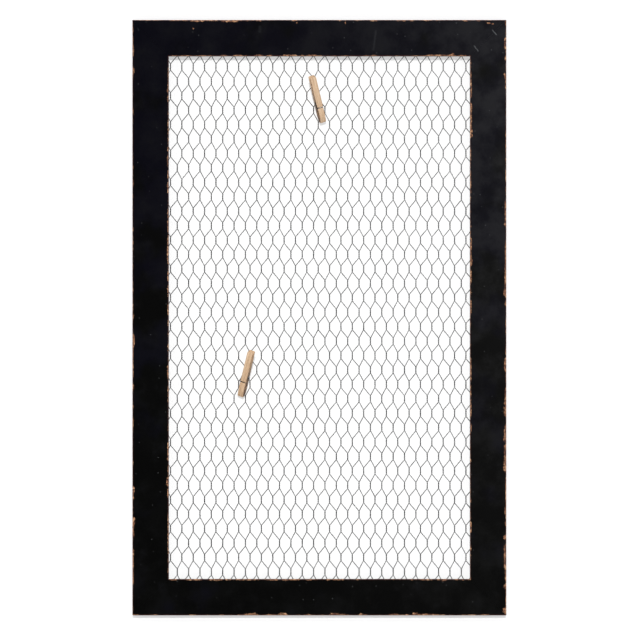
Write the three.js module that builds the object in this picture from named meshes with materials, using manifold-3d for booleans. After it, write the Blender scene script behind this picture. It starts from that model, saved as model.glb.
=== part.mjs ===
// Wall memo board: a mitred wooden frame over hexagonal wire netting, with two spring clothespins
// that grip the netting and two ring hangers on the back.
// Millimetres. +Z is up, the front faces -Y and the wall is on the +Y side.
// The origin is on the back of the top rail, at the middle of its length and of its width.

import * as THREE from 'three';
import { mergeVertices } from 'three/addons/utils/BufferGeometryUtils.js';
import Module from 'manifold-3d';

const wasm = await Module();
wasm.setup();

// Clearances shared by the whole part
const seatGap = 0.3;
const cutOverrun = 1;
const mergeTolerance = 0.001;

// Frame members
const boardWidth = 628;
const boardHeight = 1000;
const memberWidth = 61;
const frameThickness = 20;
const rabbetWidth = 12;
const rabbetDepth = 10;
const frontEdgeRadius = 1.8;
const backEdgeChamfer = 0.8;
const edgeSteps = 4;

// Netting. The real mesh has 19 mm cells; this one has the same outline in larger cells.
const wireDiameter = 0.8;
const meshPitch = 44.57;
const meshRowPitch = 51.2;
const flatRunShare = 0.595;
const twistShare = 0.447;
const meshStartShare = 0.76;
const selvedgeDiameter = 1.2;
const selvedgeInset = 3.4;

// Staples that hold the netting in the rabbet
const stapleCrown = 6.4;
const stapleWire = 0.7;
const stapleWireWidth = 1;
const stapleLeg = 8.5;
const railStapleCount = 5;
const stileStapleCount = 9;

// V-shaped nails across each mitre
const cornerNailLeg = 7;
const cornerNailThickness = 0.8;
const cornerNailDepth = 10;
const cornerNailAngle = 100 * Math.PI / 180;
const cornerNailShares = [0.3, 0.6];

// Ring hangers on the stiles
const hangerDrop = 90;
const strapWidth = 10;
const strapThickness = 1;
const strapLength = 38;
const strapHoleDrops = [21.5, 31.5];
const strapCurlAngle = 290 * Math.PI / 180;
const curlSteps = 14;
const ringWire = 2.2;
const ringInnerWidth = 17;
const ringInnerHeight = 12.5;
const ringCornerRadius = 3;
const ringSides = 8;
const ringCornerSteps = 3;
const ringBowSteps = 12;
const screwHeadDiameter = 6.2;
const screwHeadHeight = 2;
const screwShankDiameter = 3;
const screwLength = 12;
const screwTip = 3;
const screwSides = 14;

// Clothespins
const pinLength = 83;
const pinWidth = 10;
const legThickness = 7.6;
const handleEndThickness = 2.4;
const jawTipThickness = 3.4;
const jawTaperLength = 17;
const gripFromTip = 8;
const jawGrooveFromTip = 16.5;
const jawGrooveRadius = 2.6;
const coilFromTip = 34.8;
const armFromTip = 27.8;
const handleBevel = 2.2;
const handleRelief = 0.4;
const legEdgeBreak = 0.5;
const grooveSteps = 6;

// Torsion springs of the clothespins
const springWire = 1.4;
const coilRadius = 2.5;
const coilTurns = 5;
const coilStepsPerTurn = 8;
const springSides = 5;
const armBendRadius = 1.5;
const armBendSteps = 3;

// How the clothespins sit on the netting
const pinPitch = 25 * Math.PI / 180;
const pinLean = 13.4 * Math.PI / 180;
const pinSeats = [
  { name: 'upper_pin', columnShare: 0.507, row: 2 },
  { name: 'lower_pin', columnShare: 0.243, row: 11 },
];

// Sizes that follow from the ones above
const openingWidth = boardWidth - 2 * memberWidth;
const openingHeight = boardHeight - 2 * memberWidth;
const openingLeft = -openingWidth / 2;
const openingTop = -memberWidth / 2;
const openingBottom = openingTop - openingHeight;
const ledgeY = -rabbetDepth;
const nettingFrontY = ledgeY + seatGap;
const nettingMiddleY = nettingFrontY + wireDiameter / 2;
const nettingBackY = nettingFrontY + wireDiameter;

const blackPaint = { color: 0x17171a, roughness: 0.45, metalness: 0 };
const galvanised = { color: 0x8d9093, roughness: 0.4, metalness: 0.9 };
const brightSteel = { color: 0xb5b7b9, roughness: 0.3, metalness: 1 };
const zincPlate = { color: 0xc2bfb4, roughness: 0.35, metalness: 0.9 };
const springSteel = { color: 0x77797c, roughness: 0.35, metalness: 1 };
const paleWood = { color: 0xd9b48c, roughness: 0.65, metalness: 0 };

function namedMesh(name, geometry, look) {
  const mesh = new THREE.Mesh(geometry, new THREE.MeshStandardMaterial(look));
  mesh.name = name;
  return mesh;
}

function toSolid(geometry) {
  const bare = geometry.clone();
  bare.deleteAttribute('normal');
  bare.deleteAttribute('uv');
  const merged = mergeVertices(bare, mergeTolerance);
  return new wasm.Manifold(new wasm.Mesh({
    numProp: 3,
    vertProperties: Float32Array.from(merged.attributes.position.array),
    triVerts: Uint32Array.from(merged.index.array),
  }));
}

function toGeometry(solid) {
  const mesh = solid.getMesh();
  const geometry = new THREE.BufferGeometry();
  geometry.setAttribute('position', new THREE.BufferAttribute(mesh.vertProperties, 3));
  geometry.setIndex(new THREE.BufferAttribute(mesh.triVerts, 1));
  geometry.computeVertexNormals();
  return geometry;
}

function subtract(geometry, cutters) {
  let solid = toSolid(geometry);
  for (const cutter of cutters) {
    solid = solid.subtract(toSolid(cutter));
  }
  return toGeometry(solid);
}

function intersect(first, second) {
  return toGeometry(toSolid(first).intersect(toSolid(second)));
}

function shapeOf(points) {
  return new THREE.Shape(points.map(([x, y]) => new THREE.Vector2(x, y)));
}

function extrude(shape, depth, curveSegments = 1) {
  return new THREE.ExtrudeGeometry(shape, { depth, bevelEnabled: false, curveSegments });
}

// An outline drawn in (across, up), given a thickness from y = front to y = front + depth.
function panel(shape, front, depth, curveSegments) {
  const geometry = extrude(shape, depth, curveSegments);
  geometry.rotateX(Math.PI / 2);
  geometry.translate(0, front + depth, 0);
  return geometry;
}

// An outline drawn in (y, z), given a width that is centred on x = 0.
function slice(shape, width, curveSegments) {
  const geometry = extrude(shape, width, curveSegments);
  geometry.rotateX(Math.PI / 2);
  geometry.rotateZ(Math.PI / 2);
  geometry.translate(-width / 2, 0, 0);
  return geometry;
}

// A closed tube of round section along a list of points. The section is carried along untwisted.
function tube(points, radius, sides, closed) {
  const count = points.length;
  const positions = [];
  let across = null;
  for (let k = 0; k < count; k += 1) {
    const before = points[closed ? (k + count - 1) % count : Math.max(k - 1, 0)];
    const after = points[closed ? (k + 1) % count : Math.min(k + 1, count - 1)];
    const along = after.clone().sub(before).normalize();
    if (across === null) {
      const lengthwise = Math.abs(along.x) > Math.SQRT1_2;
      across = new THREE.Vector3(lengthwise ? 0 : 1, lengthwise ? 1 : 0, 0);
    }
    across = across.clone().addScaledVector(along, -across.dot(along)).normalize();
    const other = along.clone().cross(across);
    for (let side = 0; side < sides; side += 1) {
      const angle = 2 * Math.PI * (side + 1 / 2) / sides;
      const corner = points[k].clone();
      corner.addScaledVector(across, radius * Math.cos(angle));
      corner.addScaledVector(other, radius * Math.sin(angle));
      positions.push(corner.x, corner.y, corner.z);
    }
  }
  const faces = [];
  const spans = closed ? count : count - 1;
  for (let k = 0; k < spans; k += 1) {
    const here = k * sides;
    const next = ((k + 1) % count) * sides;
    for (let side = 0; side < sides; side += 1) {
      const turn = (side + 1) % sides;
      faces.push(here + side, here + turn, next + side);
      faces.push(here + turn, next + turn, next + side);
    }
  }
  if (!closed) {
    const last = (count - 1) * sides;
    for (let side = 1; side < sides - 1; side += 1) {
      faces.push(0, side + 1, side);
      faces.push(last, last + side, last + side + 1);
    }
  }
  const geometry = new THREE.BufferGeometry();
  geometry.setAttribute('position', new THREE.Float32BufferAttribute(positions, 3));
  geometry.setIndex(faces);
  geometry.computeVertexNormals();
  return geometry;
}

// Frame. A member is drawn in its own frame: x along it, y = 0 on its back, and z = 0 on the board's
// outer edge with the board's middle below.
function memberProfile() {
  const shape = new THREE.Shape();
  const front = frameThickness;
  const radius = frontEdgeRadius;
  shape.moveTo(backEdgeChamfer, 0);
  shape.lineTo(memberWidth - rabbetWidth, 0);
  shape.lineTo(memberWidth - rabbetWidth, rabbetDepth);
  shape.lineTo(memberWidth, rabbetDepth);
  shape.lineTo(memberWidth, front - radius);
  shape.absarc(memberWidth - radius, front - radius, radius, 0, Math.PI / 2);
  shape.lineTo(radius, front);
  shape.absarc(radius, front - radius, radius, Math.PI / 2, Math.PI);
  shape.lineTo(0, backEdgeChamfer);
  return shape;
}

// The profile is swept along the member, and each end is sheared to the mitre.
function mitredBar(length) {
  const geometry = extrude(memberProfile(), length, edgeSteps);
  const position = geometry.attributes.position;
  const pulledIn = seatGap * Math.SQRT1_2;
  for (let k = 0; k < position.count; k += 1) {
    const inward = position.getX(k);
    const forward = position.getY(k);
    const side = position.getZ(k) > length / 2 ? -1 : 1;
    position.setXYZ(k, side * (length / 2 - inward - pulledIn), -forward, -inward);
  }
  return geometry;
}

const members = [
  { name: 'frame_top_rail', length: boardWidth, turn: 0, middle: [0, memberWidth / 2] },
  {
    name: 'frame_bottom_rail',
    length: boardWidth,
    turn: Math.PI,
    middle: [0, memberWidth / 2 - boardHeight],
  },
  {
    name: 'frame_left_stile',
    length: boardHeight,
    turn: -Math.PI / 2,
    middle: [-boardWidth / 2, (memberWidth - boardHeight) / 2],
  },
  {
    name: 'frame_right_stile',
    length: boardHeight,
    turn: Math.PI / 2,
    middle: [boardWidth / 2, (memberWidth - boardHeight) / 2],
  },
];

// A member's cutters are given in the board's frame, so they are brought into the member's own.
function member({ name, length, turn, middle }, pockets) {
  const place = new THREE.Matrix4().makeRotationY(turn);
  place.setPosition(middle[0], 0, middle[1]);
  const home = place.clone().invert();
  const local = pockets.map((pocket) => pocket.clone().applyMatrix4(home));
  const mesh = namedMesh(name, subtract(mitredBar(length), local), blackPaint);
  mesh.rotation.y = turn;
  mesh.position.set(middle[0], 0, middle[1]);
  return mesh;
}

// Netting. Two wires twist together, part, and twist with their other neighbours in the next row.
// Rows of twists lie between bands of slanting wires. In each band one slant is flatter than the other.
const flatRun = flatRunShare * meshPitch;
const twistLength = twistShare * meshRowPitch;
const slantHeight = meshRowPitch - twistLength;
const flatSlope = Math.atan2(slantHeight, flatRun);

function bandHeight(row) {
  return openingTop - row * meshRowPitch;
}

function flatMiddleX(column) {
  return openingLeft + (meshStartShare + column) * meshPitch;
}

// The cell round a row of twists, between one twist and the next on its right.
function cellOutline(column, row) {
  const side = row % 2 === 0 ? -1 : 1;
  const left = flatMiddleX(column) + side * flatRun / 2;
  const right = left + meshPitch;
  const point = side < 0 ? left + flatRun : right - flatRun;
  const top = bandHeight(row);
  const bottom = bandHeight(row + 1);
  return [
    [point, top + slantHeight / 2],
    [left, top - slantHeight / 2],
    [left, bottom + slantHeight / 2],
    [point, bottom - slantHeight / 2],
    [right, bottom + slantHeight / 2],
    [right, top - slantHeight / 2],
  ];
}

// Each side of the outline moves in by its own distance; the outline runs anticlockwise.
function insetOutline(points, distances) {
  const lines = points.map(([x, z], k) => {
    const [nextX, nextZ] = points[(k + 1) % points.length];
    const length = Math.hypot(nextX - x, nextZ - z);
    const normal = [-(nextZ - z) / length, (nextX - x) / length];
    return { normal, offset: normal[0] * x + normal[1] * z + distances[k] };
  });
  return lines.map((line, k) => {
    const before = lines[(k + lines.length - 1) % lines.length];
    const cross = before.normal[0] * line.normal[1] - before.normal[1] * line.normal[0];
    return [
      (before.offset * line.normal[1] - line.offset * before.normal[1]) / cross,
      (before.normal[0] * line.offset - line.normal[0] * before.offset) / cross,
    ];
  });
}

// Keeps the part of a convex outline where sign * coordinate is below sign * limit.
function clipOutline(points, axis, limit, sign) {
  const kept = [];
  points.forEach((here, k) => {
    const next = points[(k + 1) % points.length];
    const inside = sign * (limit - here[axis]);
    const insideNext = sign * (limit - next[axis]);
    if (inside > 0) {
      kept.push(here);
    }
    if (inside * insideNext < 0) {
      const share = inside / (inside - insideNext);
      const crossing = [0, 1].map((n) => here[n] + share * (next[n] - here[n]));
      crossing[axis] = limit;
      kept.push(crossing);
    }
  });
  return kept;
}

const nettingEdge = {
  left: openingLeft - rabbetWidth + selvedgeInset,
  right: -openingLeft + rabbetWidth - selvedgeInset,
  bottom: openingBottom - rabbetWidth + selvedgeInset,
  top: openingTop + rabbetWidth - selvedgeInset,
};

function outlineSpan(points, axis) {
  const values = points.map((point) => point[axis]);
  return Math.max(...values) - Math.min(...values);
}

// The gaps of the netting, cut off where they meet the selvedge wire.
function nettingGaps() {
  const reach = selvedgeDiameter / 2;
  const gaps = [];
  const firstColumn = Math.floor((nettingEdge.left - openingLeft) / meshPitch) - 2;
  const lastColumn = Math.ceil((nettingEdge.right - openingLeft) / meshPitch);
  const firstRow = Math.floor((openingTop - nettingEdge.top) / meshRowPitch) - 1;
  const lastRow = Math.ceil((openingTop - nettingEdge.bottom) / meshRowPitch);
  const slant = wireDiameter / 2;
  const distances = [slant, wireDiameter, slant, slant, wireDiameter, slant];
  const leastSpan = 2 * wireDiameter;
  for (let row = firstRow; row <= lastRow; row += 1) {
    for (let column = firstColumn; column <= lastColumn; column += 1) {
      let outline = insetOutline(cellOutline(column, row), distances);
      outline = clipOutline(outline, 0, nettingEdge.right - reach, 1);
      outline = clipOutline(outline, 0, nettingEdge.left + reach, -1);
      outline = clipOutline(outline, 1, nettingEdge.top - reach, 1);
      outline = clipOutline(outline, 1, nettingEdge.bottom + reach, -1);
      const wide = outline.length > 2 && outlineSpan(outline, 0) > leastSpan;
      if (wide && outlineSpan(outline, 1) > leastSpan) {
        gaps.push(outline);
      }
    }
  }
  return gaps;
}

const gaps = nettingGaps();

function nettingGeometry() {
  const reach = selvedgeDiameter / 2;
  const sheet = panel(shapeOf([
    [nettingEdge.left - reach, nettingEdge.bottom - reach],
    [nettingEdge.right + reach, nettingEdge.bottom - reach],
    [nettingEdge.right + reach, nettingEdge.top + reach],
    [nettingEdge.left - reach, nettingEdge.top + reach],
  ]), nettingFrontY, wireDiameter);
  const depth = wireDiameter + 2 * cutOverrun;
  return subtract(sheet, [panel(gaps.map(shapeOf), nettingFrontY - cutOverrun, depth)]);
}

// Staples. A staple straddles the selvedge, with one leg in a gap of the netting.
function stapleGeometry() {
  const half = stapleCrown / 2;
  const inner = half - stapleWire;
  const shape = shapeOf([
    [-half, 0],
    [-half, stapleLeg],
    [-inner, stapleLeg],
    [-inner, stapleWire],
    [inner, stapleWire],
    [inner, stapleLeg],
    [half, stapleLeg],
    [half, 0],
  ]);
  const geometry = extrude(shape, stapleWireWidth);
  geometry.translate(0, 0, -stapleWireWidth / 2);
  return geometry;
}

function legPocketGeometry() {
  const width = stapleWire + 2 * seatGap;
  const depth = stapleLeg + seatGap;
  const geometry = new THREE.BoxGeometry(width, depth, stapleWireWidth + 2 * seatGap);
  geometry.translate(0, depth / 2, 0);
  return geometry;
}

function insideOutline(points, x, z) {
  return points.every(([fromX, fromZ], k) => {
    const [toX, toZ] = points[(k + 1) % points.length];
    return (toX - fromX) * (z - fromZ) - (toZ - fromZ) * (x - fromX) > 0;
  });
}

// Whether a gap leaves room round the leg of a staple that straddles the selvedge at this point.
function holdsLeg(gap, { axis, line, inward }, along) {
  const across = line + inward * (stapleCrown - stapleWire) / 2;
  const halfAcross = stapleWire / 2 + seatGap;
  const halfAlong = stapleWireWidth / 2 + seatGap;
  return [-halfAcross, halfAcross].every((a) => [-halfAlong, halfAlong].every((b) => {
    const corner = axis === 0 ? [across + a, along + b] : [along + b, across + a];
    return insideOutline(gap, ...corner);
  }));
}

// The stretches of selvedge between the wires that end on one side of the board.
function bareStretches({ axis, line, inward }) {
  const edge = line + inward * selvedgeDiameter / 2;
  const stretches = [];
  for (const gap of gaps) {
    const touching = gap.filter((point) => Math.abs(point[axis] - edge) < mergeTolerance);
    if (touching.length === 2) {
      const ends = touching.map((point) => point[1 - axis]);
      stretches.push({ gap, low: Math.min(...ends), high: Math.max(...ends) });
    }
  }
  return stretches;
}

function evenPlaces(low, high, count) {
  return Array.from({ length: count }, (_, k) => low + (high - low) * (k + 1 / 2) / count);
}

// The middles of the bare stretches, or more places in each if the side needs more staples than that.
function roomyPlaces(side) {
  const stretches = bareStretches(side);
  let places = [];
  for (let each = 1; each <= side.count && places.length < side.count; each += 1) {
    places = stretches.flatMap(({ gap, low, high }) => (
      evenPlaces(low, high, each).filter((along) => holdsLeg(gap, side, along))
    ));
  }
  return places;
}

// The places nearest to evenly spread ones, each used once.
function spreadOver(places, wantedPlaces) {
  const left = [...places];
  const chosen = [];
  for (const wanted of wantedPlaces.slice(0, places.length)) {
    left.sort((a, b) => Math.abs(a - wanted) - Math.abs(b - wanted));
    chosen.push(left.shift());
  }
  return chosen;
}

function staplePlaces() {
  const rail = { axis: 1, count: railStapleCount, low: nettingEdge.left, high: nettingEdge.right };
  const stile = { axis: 0, count: stileStapleCount, low: nettingEdge.bottom, high: nettingEdge.top };
  const sides = [
    { name: 'top', ...rail, line: nettingEdge.top, inward: -1 },
    { name: 'bottom', ...rail, line: nettingEdge.bottom, inward: 1 },
    { name: 'left', ...stile, line: nettingEdge.left, inward: 1 },
    { name: 'right', ...stile, line: nettingEdge.right, inward: -1 },
  ];
  const crownY = nettingBackY + seatGap + stapleWire;
  return sides.flatMap((side) => {
    const chosen = spreadOver(roomyPlaces(side), evenPlaces(side.low, side.high, side.count));
    return chosen.map((along, k) => {
      const place = new THREE.Matrix4().makeRotationX(Math.PI);
      if (side.axis === 1) {
        place.premultiply(new THREE.Matrix4().makeRotationY(Math.PI / 2));
        place.setPosition(along, crownY, side.line);
      } else {
        place.setPosition(side.line, crownY, along);
      }
      return { name: `${side.name}_staple_${k + 1}`, place };
    });
  });
}

function placed(mesh, place) {
  place.decompose(mesh.position, mesh.quaternion, mesh.scale);
  return mesh;
}

function staplePockets(places) {
  const offset = stapleCrown / 2 - stapleWire / 2;
  return places.flatMap(({ place }) => [-offset, offset].map((x) => {
    const pocket = legPocketGeometry();
    pocket.translate(x, 0, 0);
    return pocket.applyMatrix4(place);
  }));
}

// Corner nails. The V points out towards the corner of the board, with one leg in each member.
function cornerNailOutline(margin) {
  const half = cornerNailAngle / 2;
  const thick = cornerNailThickness / 2 + margin;
  const reach = cornerNailLeg + margin;
  const leg = [Math.sin(half), -Math.cos(half)];
  const normal = [Math.cos(half), Math.sin(half)];
  const tip = thick / Math.sin(half);
  const outer = [leg[0] * reach + normal[0] * thick, leg[1] * reach + normal[1] * thick];
  const inner = [leg[0] * reach - normal[0] * thick, leg[1] * reach - normal[1] * thick];
  return shapeOf([
    [0, tip],
    [-outer[0], outer[1]],
    [-inner[0], inner[1]],
    [0, -tip],
    inner,
    outer,
  ]);
}

function cornerNailGeometry(margin) {
  const depth = cornerNailDepth + margin;
  return panel(cornerNailOutline(margin), -depth, depth + (margin > 0 ? cutOverrun : -seatGap));
}

function cornerNailPlaces() {
  const places = [];
  for (const [vertical, v] of [['top', 1], ['bottom', -1]]) {
    for (const [horizontal, h] of [['left', -1], ['right', 1]]) {
      cornerNailShares.forEach((share, k) => {
        const inward = share * memberWidth;
        const x = h * (boardWidth / 2 - inward);
        const outerZ = v > 0 ? memberWidth / 2 : memberWidth / 2 - boardHeight;
        const place = new THREE.Matrix4().makeRotationY(Math.atan2(h, v));
        place.setPosition(x, 0, outerZ - v * inward);
        places.push({ name: `${vertical}_${horizontal}_corner_nail_${k + 1}`, place });
      });
    }
  }
  return places;
}

// Ring hangers. The group's origin is on the back of the stile, at the height of the ring's bar.
const strapBackY = seatGap + strapThickness;
const curlRadius = ringWire / 2 + seatGap;
const ringY = strapBackY + curlRadius;

function strapGeometry() {
  const shape = new THREE.Shape();
  const outer = curlRadius + strapThickness;
  shape.moveTo(seatGap, -strapLength);
  shape.lineTo(strapBackY, -strapLength);
  shape.lineTo(strapBackY, 0);
  shape.absarc(ringY, 0, curlRadius, Math.PI, Math.PI - strapCurlAngle, true);
  shape.absarc(ringY, 0, outer, Math.PI - strapCurlAngle, Math.PI, false);
  shape.lineTo(seatGap, -strapLength);
  const side = slice(shape, strapWidth, curlSteps);
  const outline = new THREE.Shape();
  const half = strapWidth / 2;
  outline.moveTo(-half, half - strapLength);
  outline.absarc(0, half - strapLength, half, Math.PI, 2 * Math.PI);
  outline.lineTo(half, 2 * outer);
  outline.lineTo(-half, 2 * outer);
  const hole = screwShankDiameter / 2 + seatGap;
  for (const drop of strapHoleDrops) {
    const round = new THREE.Path();
    round.absarc(0, -drop, hole, 0, 2 * Math.PI);
    outline.holes.push(round);
  }
  const depth = 2 * outer + strapThickness + 2 * cutOverrun;
  return intersect(side, panel(outline, -cutOverrun, depth, screwSides));
}

// The ring is a bow below a straight bar, drawn as one closed loop in the plane of the ring.
function ringPath() {
  const half = (ringInnerWidth + ringWire) / 2;
  const corner = ringCornerRadius;
  const drop = ringInnerHeight + ringWire;
  const shape = new THREE.Path();
  shape.moveTo(-half + corner, 0);
  shape.lineTo(half - corner, 0);
  shape.absarc(half - corner, -corner, corner, Math.PI / 2, 0, true);
  const points = shape.getPoints(ringCornerSteps);
  const bow = new THREE.Path();
  bow.absellipse(0, -corner, half, drop - corner, 0, -Math.PI, true);
  points.push(...bow.getPoints(ringBowSteps).slice(1));
  const left = new THREE.Path();
  left.absarc(-half + corner, -corner, corner, Math.PI, Math.PI / 2, true);
  points.push(...left.getPoints(ringCornerSteps).slice(1, -1));
  return points.map(({ x, y }) => new THREE.Vector3(x, ringY, y));
}

function screwGeometry() {
  const head = screwHeadDiameter / 2;
  const shank = screwShankDiameter / 2;
  const crown = screwHeadHeight;
  const shoulder = screwHeadHeight / 2;
  const points = [
    [0, -screwLength],
    [shank, screwTip - screwLength],
    [shank, 0],
    [head, 0],
    [head, shoulder],
    [head * Math.cos(Math.PI / 6), crown * Math.sin(Math.PI / 3)],
    [head / 2, crown],
    [0, crown],
  ].map(([x, y]) => new THREE.Vector2(x, y));
  return new THREE.LatheGeometry(points, screwSides);
}

function screwPocketGeometry() {
  const depth = screwLength + seatGap + cutOverrun;
  const radius = screwShankDiameter / 2 + seatGap;
  const geometry = new THREE.CylinderGeometry(radius, radius, depth, screwSides);
  geometry.translate(0, cutOverrun - depth / 2, 0);
  return geometry;
}

const hangerX = (boardWidth - memberWidth + rabbetWidth) / 2 - rabbetWidth;
const hangerPlaces = [
  { name: 'left_hanger', x: -hangerX },
  { name: 'right_hanger', x: hangerX },
];
const hangerZ = memberWidth / 2 - hangerDrop;

function hanger({ name, x }) {
  const group = new THREE.Group();
  group.position.set(x, 0, hangerZ);
  group.add(namedMesh(`${name}_strap`, strapGeometry(), zincPlate));
  group.add(namedMesh(`${name}_ring`, tube(ringPath(), ringWire / 2, ringSides, true), brightSteel));
  strapHoleDrops.forEach((drop, k) => {
    const screw = namedMesh(`${name}_screw_${k + 1}`, screwGeometry(), zincPlate);
    screw.position.set(0, strapBackY + seatGap, -drop);
    group.add(screw);
  });
  return group;
}

function screwPockets() {
  return hangerPlaces.flatMap(({ x }) => strapHoleDrops.map((drop) => {
    const pocket = screwPocketGeometry();
    pocket.translate(x, 0, hangerZ - drop);
    return pocket;
  }));
}

// Clothespins. A pin's own frame has its origin where it grips the wire, z up its length to the
// handles, x across its width and -y towards its front. The legs are drawn closed on y = 0.
const tipZ = -gripFromTip;
const handleZ = pinLength - gripFromTip;
const coilZ = coilFromTip - gripFromTip;
const armZ = armFromTip - gripFromTip;
const coilOuterRadius = coilRadius + springWire / 2;
const sideReach = pinWidth / 2 + seatGap + springWire / 2;

// The side view of the front leg; y is negative.
function legSideShape() {
  const shape = new THREE.Shape();
  const coilGroove = coilOuterRadius + seatGap;
  const armGroove = springWire / 2 + seatGap;
  const jawGrooveZ = jawGrooveFromTip - gripFromTip;
  const taperTopZ = tipZ + jawTaperLength;
  const innerHandle = legThickness - handleEndThickness;
  shape.moveTo(0, tipZ);
  shape.lineTo(0, jawGrooveZ - jawGrooveRadius);
  shape.absarc(0, jawGrooveZ, jawGrooveRadius, -Math.PI / 2, -3 * Math.PI / 2, true);
  shape.lineTo(0, coilZ - coilGroove);
  const reliefAngle = Math.asin(handleRelief / coilGroove);
  shape.absarc(0, coilZ, coilGroove, -Math.PI / 2, reliefAngle - 3 * Math.PI / 2, true);
  shape.lineTo(-innerHandle, handleZ);
  shape.lineTo(-legThickness, handleZ - handleBevel);
  shape.lineTo(-legThickness, armZ + armGroove);
  shape.absarc(-legThickness, armZ, armGroove, Math.PI / 2, -Math.PI / 2, true);
  shape.lineTo(-legThickness, taperTopZ);
  shape.quadraticCurveTo(-legThickness, (taperTopZ + tipZ) / 2, -jawTipThickness, tipZ);
  return shape;
}

// The front view, which narrows at the corners of the handle and of the jaw.
function legFrontShape() {
  const half = pinWidth / 2;
  const corner = legEdgeBreak;
  return shapeOf([
    [corner - half, tipZ],
    [half - corner, tipZ],
    [half, tipZ + corner],
    [half, handleZ - handleBevel],
    [half - handleBevel / 2, handleZ],
    [handleBevel / 2 - half, handleZ],
    [-half, handleZ - handleBevel],
    [-half, tipZ + corner],
  ]);
}

function legGeometry() {
  const side = slice(legSideShape(), pinWidth + 2 * cutOverrun, grooveSteps);
  const depth = legThickness + 2 * cutOverrun;
  return intersect(side, panel(legFrontShape(), cutOverrun - depth, depth));
}

// The jaws stay apart by the wire that they grip, so each leg turns a little about the coil.
const tiltedWireReach = (wireDiameter / 2) * (Math.cos(pinPitch) + Math.sin(pinPitch));
const legTurn = Math.asin((tiltedWireReach + seatGap) / coilZ);

function springPath() {
  const armY = -legThickness;
  const armReach = Math.hypot(armY, coilZ - armZ);
  const toArm = Math.atan2(armY, armZ - coilZ);
  const leave = toArm + Math.acos(coilRadius / armReach);
  const turned = 2 * Math.PI * coilTurns - 2 * leave;
  const steps = Math.round(coilStepsPerTurn * turned / (2 * Math.PI));
  const coil = [];
  for (let k = 0; k <= steps; k += 1) {
    const share = k / steps;
    const angle = leave + share * turned;
    const x = sideReach * (2 * share - 1);
    coil.push(new THREE.Vector3(x, coilRadius * Math.sin(angle), coilZ + coilRadius * Math.cos(angle)));
  }
  const corner = new THREE.Vector3(-sideReach, armY, armZ);
  const away = coil[0].clone().sub(corner).normalize();
  const inwards = new THREE.Vector3(1, 0, 0);
  const arm = [new THREE.Vector3(pinWidth / 2, armY, armZ)];
  for (let k = 0; k <= armBendSteps; k += 1) {
    const share = k / armBendSteps;
    const start = corner.clone().addScaledVector(inwards, armBendRadius * (1 - share) ** 2);
    arm.push(start.addScaledVector(away, armBendRadius * share ** 2));
  }
  const otherArm = arm.map(({ x, y, z }) => new THREE.Vector3(-x, -y, z)).reverse();
  return [...arm, ...coil, ...otherArm];
}

// The least gap of a wire to itself, between stretches that are at least half a turn apart along it.
function leastGapToItself(points, diameter) {
  const span = new THREE.Line3();
  const nearest = new THREE.Vector3();
  let least = Infinity;
  points.forEach((point, k) => {
    for (let n = k + coilStepsPerTurn / 2; n < points.length - 1; n += 1) {
      span.set(points[n], points[n + 1]).closestPointToPoint(point, true, nearest);
      least = Math.min(least, point.distanceTo(nearest));
    }
  });
  return least - diameter;
}

function clothespin({ name, columnShare, row }) {
  const slant = row % 2 === 0 ? -1 : 1;
  const lean = slant * pinLean;
  const turn = slant * flatSlope;
  const column = Math.round(columnShare * openingWidth / meshPitch - meshStartShare);
  const onWire = new THREE.Group();
  onWire.position.set(flatMiddleX(column), nettingMiddleY, bandHeight(row));
  onWire.rotation.y = turn;
  const tipped = new THREE.Group();
  tipped.rotation.x = pinPitch;
  const pin = new THREE.Group();
  pin.rotation.y = Math.atan(Math.cos(pinPitch) * Math.tan(lean - turn));
  for (const [leg, facing] of [['front', 0], ['rear', Math.PI]]) {
    const mesh = namedMesh(`${name}_${leg}_leg`, legGeometry().translate(0, 0, -coilZ), paleWood);
    const hinge = new THREE.Group();
    hinge.position.z = coilZ;
    hinge.rotation.set(leg === 'front' ? -legTurn : legTurn, 0, 0);
    mesh.rotation.z = facing;
    hinge.add(mesh);
    pin.add(hinge);
  }
  const wire = springPath();
  const gap = leastGapToItself(wire, springWire);
  console.log(`${name}_spring: least gap to itself ${gap.toFixed(2)} mm`);
  const spring = tube(wire, springWire / 2, springSides, false);
  pin.add(namedMesh(`${name}_spring`, spring, springSteel));
  tipped.add(pin);
  onWire.add(tipped);
  return onWire;
}

function memoBoard() {
  const board = new THREE.Group();
  const staples = staplePlaces();
  const nails = cornerNailPlaces();
  const nailPockets = nails.map(({ place }) => cornerNailGeometry(seatGap).applyMatrix4(place));
  const pockets = [...staplePockets(staples), ...nailPockets, ...screwPockets()];
  for (const each of members) {
    board.add(member(each, pockets));
  }
  board.add(namedMesh('wire_netting', nettingGeometry(), galvanised));
  for (const { name, place } of staples) {
    board.add(placed(namedMesh(name, stapleGeometry(), brightSteel), place));
  }
  for (const { name, place } of nails) {
    board.add(placed(namedMesh(name, cornerNailGeometry(0), brightSteel), place));
  }
  for (const place of hangerPlaces) {
    board.add(hanger(place));
  }
  for (const seat of pinSeats) {
    board.add(clothespin(seat));
  }
  return board;
}

export default memoBoard();
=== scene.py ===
import math
from contextlib import contextmanager

import bpy
from mathutils import Matrix, Vector


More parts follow.
